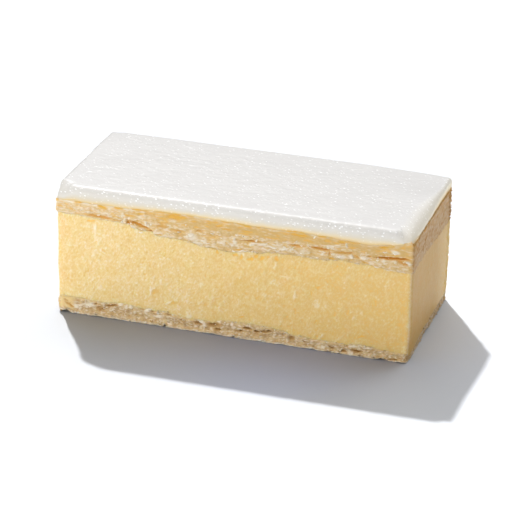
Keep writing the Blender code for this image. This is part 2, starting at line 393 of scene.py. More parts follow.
EDGE_HOLLOWS = (
    (-29.8, 37.5, 1.2, 0.35, 0, 0.6), (-26.5, 38.1, 1.2, 0.4, 0.1, 0.6),
    (-18.0, 38.1, 3.4, 0.7, 0.06, 1.1), (-12.0, 37.4, 0.9, 0.3, 0.15, 0.7),
    (-3.6, 37.3, 1.3, 0.35, 0.2, 0.8), (-1.0, 36.4, 1.6, 0.3, 0, 0.6), (5.0, 36.5, 1.6, 0.35, 0, 0.7),
    (22.2, 37.9, 2.8, 0.6, 0, 1.1), (31.0, 37.3, 1.1, 0.6, 0, 0.7),
    (35.8, 37.4, 1, 0.35, 0, 0.9), (49.8, 37.9, 2.3, 0.28, 0.22, 1.3),
    (-50.5, 33.8, 1.2, 0.25, -0.1, 0.7), (-23.5, 31.2, 1.2, 0.25, 0, 0.8), (-17.5, 30.4, 1.7, 0.28, -0.1, 1),
    (-14.6, 30.5, 0.6, 0.45, 0, 0.8), (-6.0, 29.0, 1.5, 0.25, 0.1, 0.8), (3.0, 30.1, 1.9, 0.28, 0.12, 1.1),
    (32.7, 31.6, 0.9, 0.35, 0, 1), (36.6, 31.3, 0.7, 0.25, 0, 0.9), (43.3, 31.8, 1, 0.25, -0.2, 0.8),
)
PALE_FLAKES = (
    (-48.5, 36.6, 1.8, 0.4, 0, 0.3), (-44.6, 36.0, 1.2, 0.5, 0, 0.35), (-39.5, 36.1, 1.6, 0.4, 0.1, 0.35),
    (-35.2, 36.0, 0.6, 0.9, -0.8, 1), (-35.6, 33.7, 0.5, 1, 1.6, 0.9), (-29.3, 36.4, 1.3, 0.5, 0, 0.8),
    (-27.9, 34.4, 0.35, 0.8, 0, 1), (-27.0, 33.9, 0.3, 0.6, 0, 1), (-31.8, 32.6, 1.2, 0.5, -0.6, 0.9),
    (-24.0, 31.9, 1.8, 0.4, 0.2, 0.8), (-19.3, 31.5, 1.6, 0.4, -0.1, 0.7), (-19.0, 36.6, 1.5, 0.3, 0.1, 0.6),
    (-12.8, 32.2, 1.9, 1.3, 0, 0.9), (-10.6, 30.3, 1.6, 0.6, 0, 0.8), (-8.6, 31.1, 2, 0.45, -0.2, 0.8),
    (-8.3, 33.7, 0.5, 0.35, 0.4, 1), (-2.2, 31.9, 1.6, 0.7, 0.3, 0.7), (1.5, 32.8, 0.6, 1.2, -0.8, 1),
    (0.6, 31.2, 0.5, 0.4, 0.8, 0.9), (3.6, 29.6, 1.8, 0.3, 0.4, 0.9), (7.2, 32.7, 1.5, 0.5, 0.45, 0.9),
    (10.8, 33.1, 1.8, 0.35, 0.35, 1), (13.6, 32.5, 1.6, 0.35, -0.2, 1), (11.5, 31.4, 1.6, 0.3, -0.3, 0.8),
    (17.3, 32.5, 1.5, 0.4, 0.2, 1), (19.6, 32.8, 0.3, 0.6, 0, 1), (20.3, 33.1, 0.3, 0.5, 0, 1),
    (15.6, 31.6, 0.7, 0.3, 0.5, 0.9), (24.0, 32.7, 1.5, 0.6, 0, 0.7), (29.9, 32.9, 0.8, 0.6, 0.6, 1),
    (32.9, 33.3, 0.8, 0.6, 0, 0.9), (34.9, 32.7, 1.2, 0.7, 0, 0.8), (38.8, 33.2, 0.9, 0.7, 0, 0.9),
    (42.7, 33.3, 1.3, 0.7, 0, 0.8), (32.0, 35.7, 3.2, 0.28, 0.02, 0.8), (37.2, 36.7, 0.4, 0.8, -1, 1),
    (34.4, 36.3, 1.4, 0.25, 0.25, 0.7), (49.2, 33.4, 1.2, 0.4, 0.1, 0.8), (52.6, 33.7, 1.4, 0.5, 0, 0.8),
    (49.4, 36.6, 1.4, 0.5, 0.2, 0.8), (52.6, 36.6, 1.6, 0.7, -0.1, 1), (46.8, 30.6, 0.8, 0.4, 0, 0.9),
    (51.2, 31.2, 0.3, 0.4, 0, 1), (56.8, 33.5, 0.7, 0.8, 0, 1),
)


def torn_side(block, spot, seed, marks, soaked, scale):
    """Relief of a pastry sheet's cut edge in mm outwards, how much brown painted shade its hollows get, and how
    golden and flaky it is.

    marks are the listed ovals of the front: deep hollows, shallow hollows, raised flakes. soaked is
    how smooth the cream or the icing has left each point. scale is the size of the crumb.
    """
    ragged = spot + np.stack([0.45 * rough(spot, 1.5, seed + 1, 2), 0 * spot[..., 0],
                              0.25 * rough(spot, 1.1, seed + 2, 2)], -1)
    dry = 1 - 0.85 * soaked
    leaves = 1 - 2 * np.abs(rough(ragged, (4.0 * scale, 4.0 * scale, 0.8 * scale), seed + 3, 2))
    crumb = rough(spot, (1.0 * scale, 1.0 * scale, 0.7 * scale), seed + 5, 2)
    tufts = patches(rough(ragged, (1.5 * scale, 1.5 * scale, 0.7 * scale), seed + 11, 2), 0.0, 0.35)
    split = patches(rough(spot, (4.5 * scale, 4.5 * scale, 1.8 * scale), seed + 8, 2), -0.1, 0.35)
    crevice = patches(leaves, 0.72, 0.25) * split
    side = 1 - block.front
    clumps = rough(ragged, (3.6 * scale, 3.6 * scale, 1.2 * scale), seed + 14, 3)
    recess = patches(-clumps, 0.10, 0.30) * side * (1 - 0.5 * soaked)
    deep, shallow, raised = (block.front * ovals(group, ragged[..., 0], ragged[..., 2])
                             for group in marks)
    # Painted shade: browner in the deep hollows, the creases and the gaps between clumps.
    hollow = np.clip(deep / 1.5 + 0.8 * recess + 0.5 * crevice * dry, 0, 1.3)
    # On the sides the pastry is painted more golden against the cooler light that falls there, and its raised
    # clumps are painted pale as painted highlights.
    golden = np.clip(shallow + 0.35 * side, 0, 1.2)
    flaky = np.clip(raised + 0.7 * tufts * dry + 0.6 * side * patches(clumps, 0.1, 0.3), 0, 1)
    flaky = flaky * (1 - ease(hollow * 1.5)) * (1 - ease(shallow * 1.6))
    relief = 0.25 * rough(spot, (8, 8, 3), seed + 17, 2) + (0.16 * crumb + 0.08 * (1 - leaves)) * dry
    relief += 0.12 * flaky + 0.45 * clumps * side - 0.45 * deep - 0.22 * crevice * dry - 0.30 * shallow
    return relief, hollow, golden, flaky


def pastry_block(name, block, rings, fields, under, upper):
    rings = np.concatenate([block.rings(1.6, rings[:1, :, 2]), rings, block.rings(1.6, rings[-1:, :, 2])])
    piece = block.make(name, rings, under, upper)
    for field, values in fields.items():
        values = np.broadcast_to(values, rings[1:-1].shape[:2])
        mark(piece, field, np.concatenate([values[:1], values, values[-1:]]))
    return piece


def upper_pastry_piece():
    """Upper sheet of puff pastry: soaked under the fondant, creased and flaky lower down."""
    left, right, front, back = reach_of("upper_pastry", -0.6)
    block = Block((left + 0.3, right + 0.3, front, back + 0.1), (0.9, 0.9, 1.0, 1.9), 456, 192)
    foot = np.stack([block.x, block.y, 0 * block.x], -1)
    low = upper_seam(block.x, block.y) - 0.15 + 0.45 * rough(foot, 1.9, 58, 3)
    high = np.minimum(icing_seam(block.x, block.y) + 5 * block.front, icing_lip(block.x, block.y)) + 0.3
    high += 0.3 * rough(foot, 1.6, 60, 3) * block.front + 0.15 - 2.0 * block.front * block.right
    share, spot = levels_between(block, low, high, 46)
    x, z = spot[..., 0], spot[..., 2]
    crease = 35.2 - 0.2 * ease((x + 30) / 20)
    wet = mix(0.25, 0.9, ease((x + 32) / 22)) * ease((z - crease) / 0.8) * mix(0.4, 1.0, block.front)
    soaked = np.maximum(wet, ease((1.5 - (high - z)) / 1.2))
    soaked = np.maximum(soaked, 0.35 * block.front * ease((-34 - x) / 8))
    relief, hollow, golden, flaky = torn_side(
        block, spot, 61, (CREASE_HOLLOWS, EDGE_HOLLOWS, PALE_FLAKES), soaked, 0.8)
    tuck = 0.3 * ease((z - high + 0.4) / 0.4) + 0.3 * ease(1 - share / 0.12)
    tuck -= 0.12 + 0.08 * block.front + 0.10 * block.right
    torn_edge = block.right * ease((block.y - 19) / 4)
    bits = rough(spot, (1.5, 1.5, 1.0), 72, 3)
    relief += 0.5 * bits * block.right
    relief -= 1.1 * torn_edge * patches(rough(spot, (1.2, 1.2, 0.8), 70, 3), -0.15, 0.3)
    rings = block.rings(tuck - relief, z)
    strokes = patches(rough(spot, (4.0, 4.0, 0.8), 66, 2), 0.12, 0.25) * ease((z - 34.8) / 0.8)
    streaks = patches(rough(spot, (3.5, 3.5, 0.7), 68, 2), 0.12, 0.25)
    golden = np.maximum(golden, 0.7 * strokes)
    flaky = np.maximum(flaky, 0.45 * streaks * (1 - golden))
    iced = ease((1.3 - (high - z) + 0.5 * rough(spot, 1.4, 67, 2)) / 1.1) * mix(0.7, 0.35, ease((x + 30) / 40))
    flaky = np.clip(flaky + 0.2 * block.front * ease((-30 - x) / 12) + iced, 0, 1)
    # On the right end the raised bits are painted pale as painted highlights, and the gaps between them dark as
    # painted shade.
    flaky = np.maximum(flaky * (1 - 0.5 * block.right), 0.85 * block.right * patches(bits, 0.0, 0.3))
    hollow = hollow * (1 - 0.5 * block.right) + 0.45 * block.right * patches(-bits, 0.05, 0.3)
    jelly = 0.6 * ease((1.3 - (high - z)) / 1.0) * patches(rough(spot, (3.5, 3.5, 1.2), 73, 2), -0.05, 0.3)
    flaky = flaky * (1 - jelly)
    golden = np.clip(golden + jelly, 0, 1)
    fields = {"hollow": hollow, "golden": golden, "flaky": flaky, "soaked": soaked,
              "cut_end": block.right}
    return pastry_block("upper_pastry_leaves", block, rings, fields, (8, 3.0, upper_seam),
                        (8, 3.0, icing_seam)), rings, block


LOWER_HOLLOWS = (
    (-44.8, 4.0, 0.5, 0.35, 0, 1.2), (-39.6, 4.2, 2.2, 0.35, 0.2, 1.3), (-42.0, 3.1, 0.5, 0.35, 0, 1),
    (-43.0, 2.5, 2, 0.7, 0, 0.7), (-29.0, 4.8, 0.8, 0.5, 0, 1), (-25.5, 4.5, 1, 0.4, 0.3, 1),
    (-20.2, 4.1, 1.2, 0.35, 0, 1.1), (-15.5, 3.0, 1, 0.3, 0, 0.9), (-10.5, 2.7, 1.5, 0.55, -0.2, 1),
    (-5.2, 2.9, 2.2, 0.9, 0.1, 1.2), (-3.8, 1.8, 1.4, 0.35, 0, 1.3), (3.0, 2.2, 1.8, 0.3, 0.1, 0.9),
    (6.0, 3.5, 1.6, 0.4, 0, 1.4), (8.9, 3.0, 0.8, 0.35, 0, 1.4), (12.0, 3.4, 2.2, 0.4, 0.2, 1.4),
    (17.8, 3.2, 0.6, 0.5, 0, 1), (20.5, 2.4, 1.3, 0.6, 0.2, 1), (27.5, 3.2, 1.1, 0.25, 0, 1),
    (33.6, 1.6, 0.9, 0.35, 0, 1.5), (33.0, 0.3, 1.2, 0.4, 0.2, 1.2), (37.3, 1.0, 1, 0.25, 0.1, 1.2),
    (38.1, 2.9, 0.7, 0.6, 0, 0.9), (41.3, 1.6, 1.9, 0.28, 0, 1.4), (45.0, 3.8, 1.8, 0.25, -0.1, 0.9),
    (50.0, 0.4, 1.3, 0.4, 0, 1.2), (53.6, 0.6, 1.8, 0.4, 0.1, 1.1),
)
LOWER_GOLD = (
    (-53.6, 2.7, 1.6, 0.45, -0.5, 0.9), (-54.8, 4.1, 0.8, 0.4, -0.4, 0.7), (-50.0, 5.9, 1.4, 0.5, 0, 0.5),
)
LOWER_FLAKES = (
    (-51.6, 2.3, 1, 0.7, 0.1, 1), (-46.8, 3.3, 1.9, 0.7, 0.1, 1), (-50.0, 2.9, 1, 0.5, 0.3, 0.8),
    (-36.5, 5.2, 0.8, 0.6, 0, 0.9), (-34.4, 4.6, 0.4, 0.7, 0, 1), (-33.2, 4.9, 0.4, 0.7, 0, 0.9),
    (-27.2, 4.6, 1.3, 0.6, 0.5, 1), (-23.6, 3.1, 1.2, 0.4, 0.2, 1), (-19.8, 1.5, 0.8, 0.4, 0, 0.9),
    (-9.2, 3.1, 1.4, 0.9, -0.4, 1), (-3.4, 4.5, 0.8, 0.5, 0, 0.9), (0.8, 4.0, 0.4, 0.5, 0, 1),
    (3.2, 3.0, 0.7, 0.3, 0, 0.9), (6.2, 4.4, 0.9, 0.3, 0, 0.9), (11.0, 0.6, 1, 0.5, 0, 0.7),
    (30.9, 1.3, 0.7, 0.4, 0, 0.8), (39.7, 0.9, 0.9, 0.8, 0, 0.7), (40.6, 2.9, 1.6, 0.3, 0.1, 0.8),
    (44.8, 2.9, 1.4, 0.3, 0.1, 0.8), (19.2, 1.9, 0.4, 0.7, 0, 0.9), (57.0, 1.8, 0.6, 0.4, 0, 0.9),
)


def lower_pastry_piece():
    """Lower sheet of puff pastry, pressed thin by the cream, dry and torn, with a ragged foot."""
    left, right, front, back = reach_of("lower_pastry", 0.0)
    block = Block((left, right + 0.9, front, back + 0.2), (1.6, 1.6, 1.0, 1.0), 456, 192)
    foot = np.stack([block.x, block.y, 0 * block.x], -1)
    lift = 0.3 * patches(rough(foot, 6.0, 75, 3), -0.1, 0.6) + 0.15 * patches(rough(foot, 1.3, 76, 2), 0.0, 0.5)
    low = np.maximum(underside(block.x, block.y), 0.0) * 0.3 + lift
    high = lower_seam(block.x, block.y) + 0.3 + 0.35 * rough(foot, 1.8, 59, 3)
    share, spot = levels_between(block, low, high, 30)
    lobe = ease((-50.5 - block.x) / 3) * ease(1 - block.back)
    soaked = np.maximum(0.6 * ease((share - 0.8) / 0.2), 0.9 * lobe * ease((share - 0.15) / 0.2))
    relief, hollow, golden, flaky = torn_side(
        block, spot, 71, (LOWER_HOLLOWS, LOWER_GOLD, LOWER_FLAKES), soaked, 0.65)
    # A painted highlight along the foot: pale there, with little of the hollows' painted shade.
    rim = ease((0.16 - share) / 0.12)
    flaky = np.clip(flaky + 0.5 * rim, 0, 1)
    hollow = hollow * (1 - 0.8 * rim)
    back_in = mix(0.9, 0.05, ease((0.45 - share) / 0.3)) * block.front + 0.4 * block.left + 0.2 * block.right
    back_in += 0.4 * ease((share - 0.85) / 0.15)
    rings = block.rings(back_in - relief - 0.5 * lobe * np.sin(np.pi * share), spot[..., 2])
    fields = {"hollow": hollow, "golden": golden, "flaky": flaky, "soaked": soaked,
              "cut_end": block.right}
    return pastry_block("lower_pastry_leaves", block, rings, fields, (8, 4.5, underside),
                        (8, 4.5, lower_seam)), rings, block


def icing_piece():
    """Poured white fondant: level on top, rolled over its edges, with a soft hanging lip."""
    left, right, front, back = reach_of("icing", 0.0)
    reach = (left, right - 0.2, front + 0.45, back)
    rounding, inset = 6.6, 6.2
    block = Block(reach, (rounding,) * 4, 336, 148)
    square = Block(reach, (1.4, 1.4, 0.7, 0.9), 336, 148)
    far = ease((block.y + 10) / 28)
    roll = 0.5 * block.back + 2.1 * block.front + mix(3.7, 1.2, far) * block.right + 1.7 * block.left
    foot = np.stack([block.x, block.y, 0 * block.x], -1)
    roll += 1.4 * block.front * ease((-50 - block.x) / 8) + 0.7 * block.front * rough(foot, 2.2, 86, 3)
    roll = np.clip(roll, 0.5, 3.8)
    run = roll + 1.9 * block.right * (1 - far)

    def relief(spot):
        pearls = patches(grain(spot / np.array([1.5, 1.0, 1.0]), 93), 0.50, 0.25)
        return 0.055 * rough(spot, (4.0, 1.8, 1.8), 94, 3) + 0.09 * pearls

    def top(x, y):
        place = np.stack([x, y, 0 * x], -1)
        sunk = 0.5 * ease((x / END - 0.4) / 0.6) * ease(y / FACE)
        return TOP - 0.14 - sunk + 0.10 * rough(place, 16.0, 81, 2) + relief(place)

    edge = icing_lip(block.x, block.y) + 0.55 * rough(foot, 5.0, 85, 3) * mix(0.5, 0.7, block.front)
    peak = top(block.x, block.y)
    rings, thin = [], []

    def level(draw):
        ring = block.rings(draw, 0.0)
        return top(ring[:, 0], ring[:, 1])

    def ring(draw, z, squared):
        """A ring whose corners are drawn out to the squarer outline that the icing has at its lip."""
        made = block.rings(draw, z)
        squared = np.where(block.y > 0, 1.0, squared) * (1 - np.clip(draw, 0, inset) / rounding)
        made[:, 0] += squared * (square.x - block.x)
        made[:, 1] += squared * (square.y - block.y)
        return made

    def wave(z):
        spot = np.stack([block.x, block.y, z], -1)
        return 0.16 * rough(spot, 7.0, 87, 2) + 0.18 * rough(spot, 2.2, 89, 3) + 0.7 * relief(spot)

    for draw, rise in ((2.2, -0.5), (0.9, -0.8), (0.5, -0.7), (0.34, -0.3), (0.25, 0.05)):
        rings.append(ring(draw, edge + rise, 1.0))
        thin.append(np.full_like(block.x, 1.0))
    shown = 0.25 + 0.5 * block.right
    steps = 9
    for step in range(1, steps):
        share = step / steps
        z = mix(edge + 0.3, peak - roll, share)
        out = wave(z) * np.sin(np.pi / 2 * share)
        rings.append(ring(0.1 * (1 - share) - out + 0.12, z, 1 - 0.3 * share))
        thin.append(1 - (1 - shown) * share)
    turns = 9
    for turn in range(turns + 1):
        angle = np.pi / 2 * turn / turns
        inner = 0.12 + run * (1 - np.cos(angle))
        z = level(inner) - roll + roll * np.sin(angle)
        rings.append(ring(inner - wave(z) * np.cos(angle), z, 0.7 * (1 - ease(turn / 6))))
        thin.append(shown * (1 - turn / turns))
    for step in (1, 2, 3):
        inner = mix(run + 0.12, inset, step / 4)
        rings.append(ring(inner, level(inner), 0.0))
        thin.append(np.zeros_like(block.x))
    piece = block.make("fondant_icing", rings, (8, inset, icing_seam), (1, inset, top))
    mark(piece, "lip", np.array(thin))
    # Painted shade: the icing's face is a little darker towards the left end, where the front light falls
    # strongest.
    mark(piece, "left_end", np.sqrt(thin) * ease((-block.x - 5) / 45))
    return piece


def flake_slabs(roots, out, length, width, lean, pitch, curl, thickness, chance):
    """Points and faces of thin curled flakes of pastry, each a closed slab.

    roots are places on a sheet's side and out the way it faces there. lean turns a flake on the
    side, pitch is how far it lies from straight out, and curl bends it as it goes.
    """
    count, along, across = len(roots), 9, 4
    u = np.linspace(-1, 1, along)[None, :, None]
    v = np.linspace(0, 1, across)[None, None, :]
    side = np.stack([-out[:, 1], out[:, 0], 0 * out[:, 0]], -1)
    rise = np.array([0.0, 0.0, 1.0])
    run = side * np.cos(lean)[:, None] + rise * np.sin(lean)[:, None]
    over = rise * np.cos(lean)[:, None] - side * np.sin(lean)[:, None]
    ragged = 1 + 0.18 * chance.uniform(-1, 1, (count, along, 1))
    reach = width[:, None, None] * (1 - np.abs(u) ** 2.4 * 0.85) * ragged * v
    turn = pitch[:, None, None] + curl[:, None, None] * v
    wave = 0.12 * np.sin(3 * u + chance.uniform(0, 6.3, (count, 1, 1))) * length[:, None, None] / 2
    front = (roots[:, None, None] + run[:, None, None] * (u * length[:, None, None] / 2)[..., None]
             + out[:, None, None] * (reach * np.cos(turn))[..., None]
             + over[:, None, None] * (reach * np.sin(turn) + wave * (1 - v))[..., None])
    normal = np.cross(np.gradient(front, axis=1), np.gradient(front, axis=2))
    normal /= np.maximum(np.linalg.norm(normal, axis=-1, keepdims=True), 1e-9)
    back = front - normal * thickness
    points = np.stack([front, back], 1).reshape(count, -1, 3)
    index = np.arange(along * across).reshape(along, across)
    quads = np.stack([index[:-1, :-1], index[1:, :-1], index[1:, 1:], index[:-1, 1:]], -1).reshape(-1, 4)
    rim = np.concatenate([index[:-1, 0], index[-1, :-1], index[:0:-1, -1], index[0, :0:-1]])
    after = np.roll(rim, -1)
    shell = along * across
    one = np.concatenate([quads, quads[:, ::-1] + shell,
                          np.stack([rim, rim + shell, after + shell, after], -1)])
    faces = (one[None] + (np.arange(count) * 2 * shell)[:, None, None]).reshape(-1, 4)
    return points.reshape(-1, 3), faces, 2 * shell


def flakes_piece(name, rings, block, places, levels, count, seed, sizes, tones, held):
    """Curled flakes standing on a pastry sheet's side, between two levels of its rings.

    places are the ring columns that they stand on.
    held are listed flakes of the front: along, height, length, width, lean, pitch in degrees.
    """
    chance = np.random.default_rng(seed)
    level = chance.integers(levels[0], levels[1], count)
    column = chance.choice(places, count)
    lengths = chance.uniform(*sizes, count)
    widths = lengths * chance.uniform(0.35, 0.7, count)
    leans = np.radians(chance.normal(0, 18, count))
    pitches = np.radians(chance.uniform(50, 85, count) * chance.choice([-1, 1], count, p=[0.6, 0.4]))
    if held:
        along, height, length, width, lean, pitch = np.array(held).T
        front = np.flatnonzero(block.front > 0.9)
        near = [front[np.argmin(np.abs(block.x[front] - x))] for x in along]
        column[:len(held)] = near
        level[:len(held)] = [np.argmin(np.abs(rings[:, c, 2] - z)) for c, z in zip(near, height)]
        lengths[:len(held)], widths[:len(held)] = 0.65 * length, 0.6 * width
        leans[:len(held)], pitches[:len(held)] = np.radians(lean), np.radians(pitch)
    out = np.stack([block.out_x, block.out_y, 0 * block.x], -1)[column]
    roots = rings[level, column] - 0.12 * out
    curl = np.radians(chance.uniform(-70, 50, count)) * np.sign(pitches)
    points, faces, each = flake_slabs(roots, out, lengths, widths, leans, pitches, curl, 0.14, chance)
    piece = mesh_piece(name, points, faces.tolist())
    tone = chance.uniform(*tones, count)
    tone[:len(held)] = 1.0
    mark(piece, "flaky", np.repeat(tone, each))
    return piece


# Flakes of the upper sheet, listed one by one: along, height, length, width, lean and pitch in degrees.
HELD_FLAKES = (
    (-35.3, 35.9, 1.6, 1, 60, 50), (-35.6, 33.9, 1.8, 0.7, 65, 60), (-28.0, 34.5, 1, 0.9, 80, 30),
    (-27.0, 34.2, 0.9, 0.8, 95, 30), (-32.0, 32.5, 3, 0.9, -35, -50), (-29.6, 31.1, 2.4, 0.8, -10, -60),
    (1.4, 33.2, 2.2, 1.1, 70, 60), (7.0, 32.5, 2.6, 0.7, 25, -60), (10.8, 33.1, 3.4, 0.7, 22, -65),
    (13.8, 32.6, 2.8, 0.6, -12, -60), (17.2, 32.5, 2.4, 0.7, 14, -60), (19.6, 32.9, 1, 0.7, 75, 40),
    (20.3, 33.2, 0.9, 0.7, 80, 40), (29.9, 33.0, 1.8, 0.9, 40, -50), (32.9, 33.3, 1.6, 0.9, 0, -60),
    (35.0, 32.9, 2.2, 1.1, 5, -65), (38.9, 33.2, 1.6, 1, -10, -60), (42.8, 33.4, 2.4, 1.1, 0, -60),
    (32.0, 35.6, 5, 0.5, 2, -50), (37.2, 36.7, 1.8, 0.6, -55, 50), (56.6, 33.6, 1.6, 1.2, 20, 20),
    (57.0, 32.7, 1.4, 1, -30, -20), (52.6, 36.4, 2.4, 0.9, -8, -60), (49.4, 36.4, 2.2, 0.8, 12, -60),
    (26.9, 38.0, 2.2, 0.7, 48, -70), (-12.8, 33.0, 3, 1.6, 10, -75), (-8.8, 31.5, 3.2, 0.8, -15, -65), (3.6, 29.9, 3.4, 0.7, 20, -60),
)


def crumbs_piece(name, spots, seed, sizes):
    """Small crumbs stuck where they fell, each an uneven lump."""
    chance = np.random.default_rng(seed)
    ball = bmesh.new()
    bmesh.ops.create_icosphere(ball, subdivisions=2, radius=1.0)
    shape = np.array([vert.co for vert in ball.verts])
    sides = np.array([[vert.index for vert in face.verts] for face in ball.faces])
    ball.free()
    size = chance.uniform(*sizes, (len(spots), 1, 1)) * chance.uniform(0.6, 1.3, (len(spots), 1, 3))
    lumpy = 1 + 0.45 * grain(shape[None] * 1.3 + np.arange(len(spots))[:, None, None] * 3.7, seed)
    points = spots[:, None] + shape[None] * size * lumpy[..., None]
    faces = sides[None] + (np.arange(len(spots)) * len(shape))[:, None, None]
    piece = mesh_piece(name, points.reshape(-1, 3), faces.reshape(-1, 3).tolist())
    mark(piece, "flaky", np.repeat(chance.uniform(0.2, 1.0, len(spots)), len(shape)))
    return piece


# ---------------------------------------------------------------- materials

def paint(code):
    """A colour given as sRGB hex, as the linear numbers that shaders use."""
    parts = [int(code[place:place + 2], 16) / 255 for place in (1, 3, 5)]
    return tuple(part / 12.92 if part <= 0.04045 else ((part + 0.055) / 1.055) ** 2.4
                 for part in parts) + (1.0,)


def add(tree, kind, settings=None, inputs=None):
    """Adds a node, sets its own settings, and sets or links its inputs."""
    made = tree.nodes.new("ShaderNode" + kind)
    for name, value in (settings or {}).items():
        if name == "stops":
            elements = made.color_ramp.elements
            while len(elements) < len(value):
                elements.new(1.0)
            for element, (place, code) in zip(elements, value):
                element.position, element.color = place, paint(code)
        else:
            setattr(made, name, value)
    for name, value in (inputs or {}).items():
        if isinstance(value, bpy.types.NodeSocket):
            tree.links.new(value, made.inputs[name])
        else:
            made.inputs[name].default_value = value
    return made


def start_material(name):
    material = bpy.data.materials.new(name)
    material.use_nodes = True
    tree = material.node_tree
    shader = tree.nodes["Principled BSDF"]
    where = add(tree, "TexCoord").outputs["Object"]
    return material, tree, shader, where


def shaded_at_end(tree, colour, end_shade_tone):
    """A colour multiplied by a tone on the cut end: painted shade on the right-hand end of the slice."""
    end = add(tree, "Attribute", {"attribute_name": "cut_end"}).outputs["Fac"]
    return add(tree, "Mix", {"data_type": "RGBA", "blend_type": "MULTIPLY"},
               {0: end, 6: colour, 7: paint(end_shade_tone)}).outputs[2]


def custard_material():
    """Set vanilla custard cream, wire cut: satin, moist and slightly see-through."""
    material, tree, shader, where = start_material("set_custard_cream")
    curd_and_light = add(tree, "Attribute", {"attribute_name": "curd_tone"}).outputs["Fac"]
    slant = add(tree, "Mapping", {"vector_type": "TEXTURE"},
                {"Vector": where, "Rotation": (0, np.radians(20), 0), "Scale": (1.0, 1.0, 1.6)})
    dashes = add(tree, "TexNoise", None, {"Vector": slant.outputs["Vector"],
                                          "Scale": 1 / (0.55 * MM), "Detail": 3.0,
                                          "Roughness": 0.65})
    both = add(tree, "Math", {"operation": "MULTIPLY_ADD"},
               {0: dashes.outputs["Fac"], 1: 1.0, 2: curd_and_light})
    tone = add(tree, "ValToRGB", {"stops": [
        (0.06, "#EBBC60"), (0.36, "#E0BE78"), (0.62, "#E5CC93"), (0.95, "#ECDEC2")]},
        {"Fac": both.outputs["Value"]})
    tree.links.new(shaded_at_end(tree, tone.outputs["Color"], "#E7D5AE"), shader.inputs["Base Color"])
    shader.inputs["Roughness"].default_value = 0.45
    shader.inputs["IOR"].default_value = 1.38
    shader.inputs["Subsurface Weight"].default_value = 0.6
    shader.inputs["Subsurface Radius"].default_value = (1.0, 0.6, 0.25)
    shader.inputs["Subsurface Scale"].default_value = 2.2 * MM
    fine = add(tree, "TexNoise", None, {"Vector": where, "Scale": 1 / (0.7 * MM), "Detail": 2.0})
    dents = add(tree, "Bump", None, {"Height": fine.outputs["Fac"], "Distance": 0.14 * MM,
                                     "Strength": 0.6})
    tree.links.new(dents.outputs["Normal"], shader.inputs["Normal"])
    return material


def pastry_material(name, crumb, soaked_tone, pale, gold, shade_brown, end_shade_tone):
    """Baked puff pastry: pale flaky leaves over golden hollows and brown painted shade in the deep ones, soaked
    by the cream.

    crumb is a pair of tones that the baked dough drifts between.
    """
    material, tree, shader, where = start_material(name)
    field = {key: add(tree, "Attribute", {"attribute_name": key}).outputs["Fac"]
             for key in ("hollow", "golden", "flaky", "soaked")}
    drift = add(tree, "TexNoise", None, {"Vector": where, "Scale": 1 / (1.6 * MM), "Detail": 5.0,
                                         "Roughness": 0.62})
    colour = add(tree, "ValToRGB", {"stops": [(0.36, crumb[0]), (0.62, crumb[1])]},
                 {"Fac": drift.outputs["Fac"]}).outputs["Color"]
    hollow_shade_tone = add(tree, "ValToRGB", {"stops": [(0.25, gold), (1.0, shade_brown)]},
                      {"Fac": field["hollow"]}).outputs["Color"]
    for share, tone in ((field["soaked"], paint(soaked_tone)), (field["flaky"], paint(pale)),
                        (field["golden"], paint(gold)), (field["hollow"], hollow_shade_tone)):
        colour = add(tree, "Mix", {"data_type": "RGBA"}, {0: share, 6: colour, 7: tone}).outputs[2]
    # Painted shade on the right-hand cut end.
    tree.links.new(shaded_at_end(tree, colour, end_shade_tone), shader.inputs["Base Color"])
    shader.inputs["Roughness"].default_value = 0.5
    shader.inputs["Subsurface Weight"].default_value = 0.6
    shader.inputs["Subsurface Radius"].default_value = (1.0, 0.7, 0.45)
    shader.inputs["Subsurface Scale"].default_value = 0.8 * MM
    fine = add(tree, "TexNoise", None, {"Vector": where, "Scale": 1 / (0.8 * MM), "Detail": 4.0})
    dents = add(tree, "Bump", None, {"Height": fine.outputs["Fac"], "Distance": 0.25 * MM,
                                     "Strength": 0.7})
    tree.links.new(dents.outputs["Normal"], shader.inputs["Normal"])
    return material


def flake_material(name, gold, pale):
    """One thin leaf of puff pastry: crisp and satin."""
    material, tree, shader, where = start_material(name)
    tone = add(tree, "Attribute", {"attribute_name": "flaky"}).outputs["Fac"]
    drift = add(tree, "TexNoise", None, {"Vector": where, "Scale": 1 / (1.2 * MM), "Detail": 3.0})
    both = add(tree, "Math", {"operation": "MULTIPLY_ADD"}, {0: drift.outputs["Fac"], 1: 0.6, 2: tone})
    colour = add(tree, "ValToRGB", {"stops": [(0.3, gold), (1.0, pale)]}, {"Fac": both.outputs["Value"]})
    tree.links.new(colour.outputs["Color"], shader.inputs["Base Color"])
    shader.inputs["Roughness"].default_value = 0.45
    return material


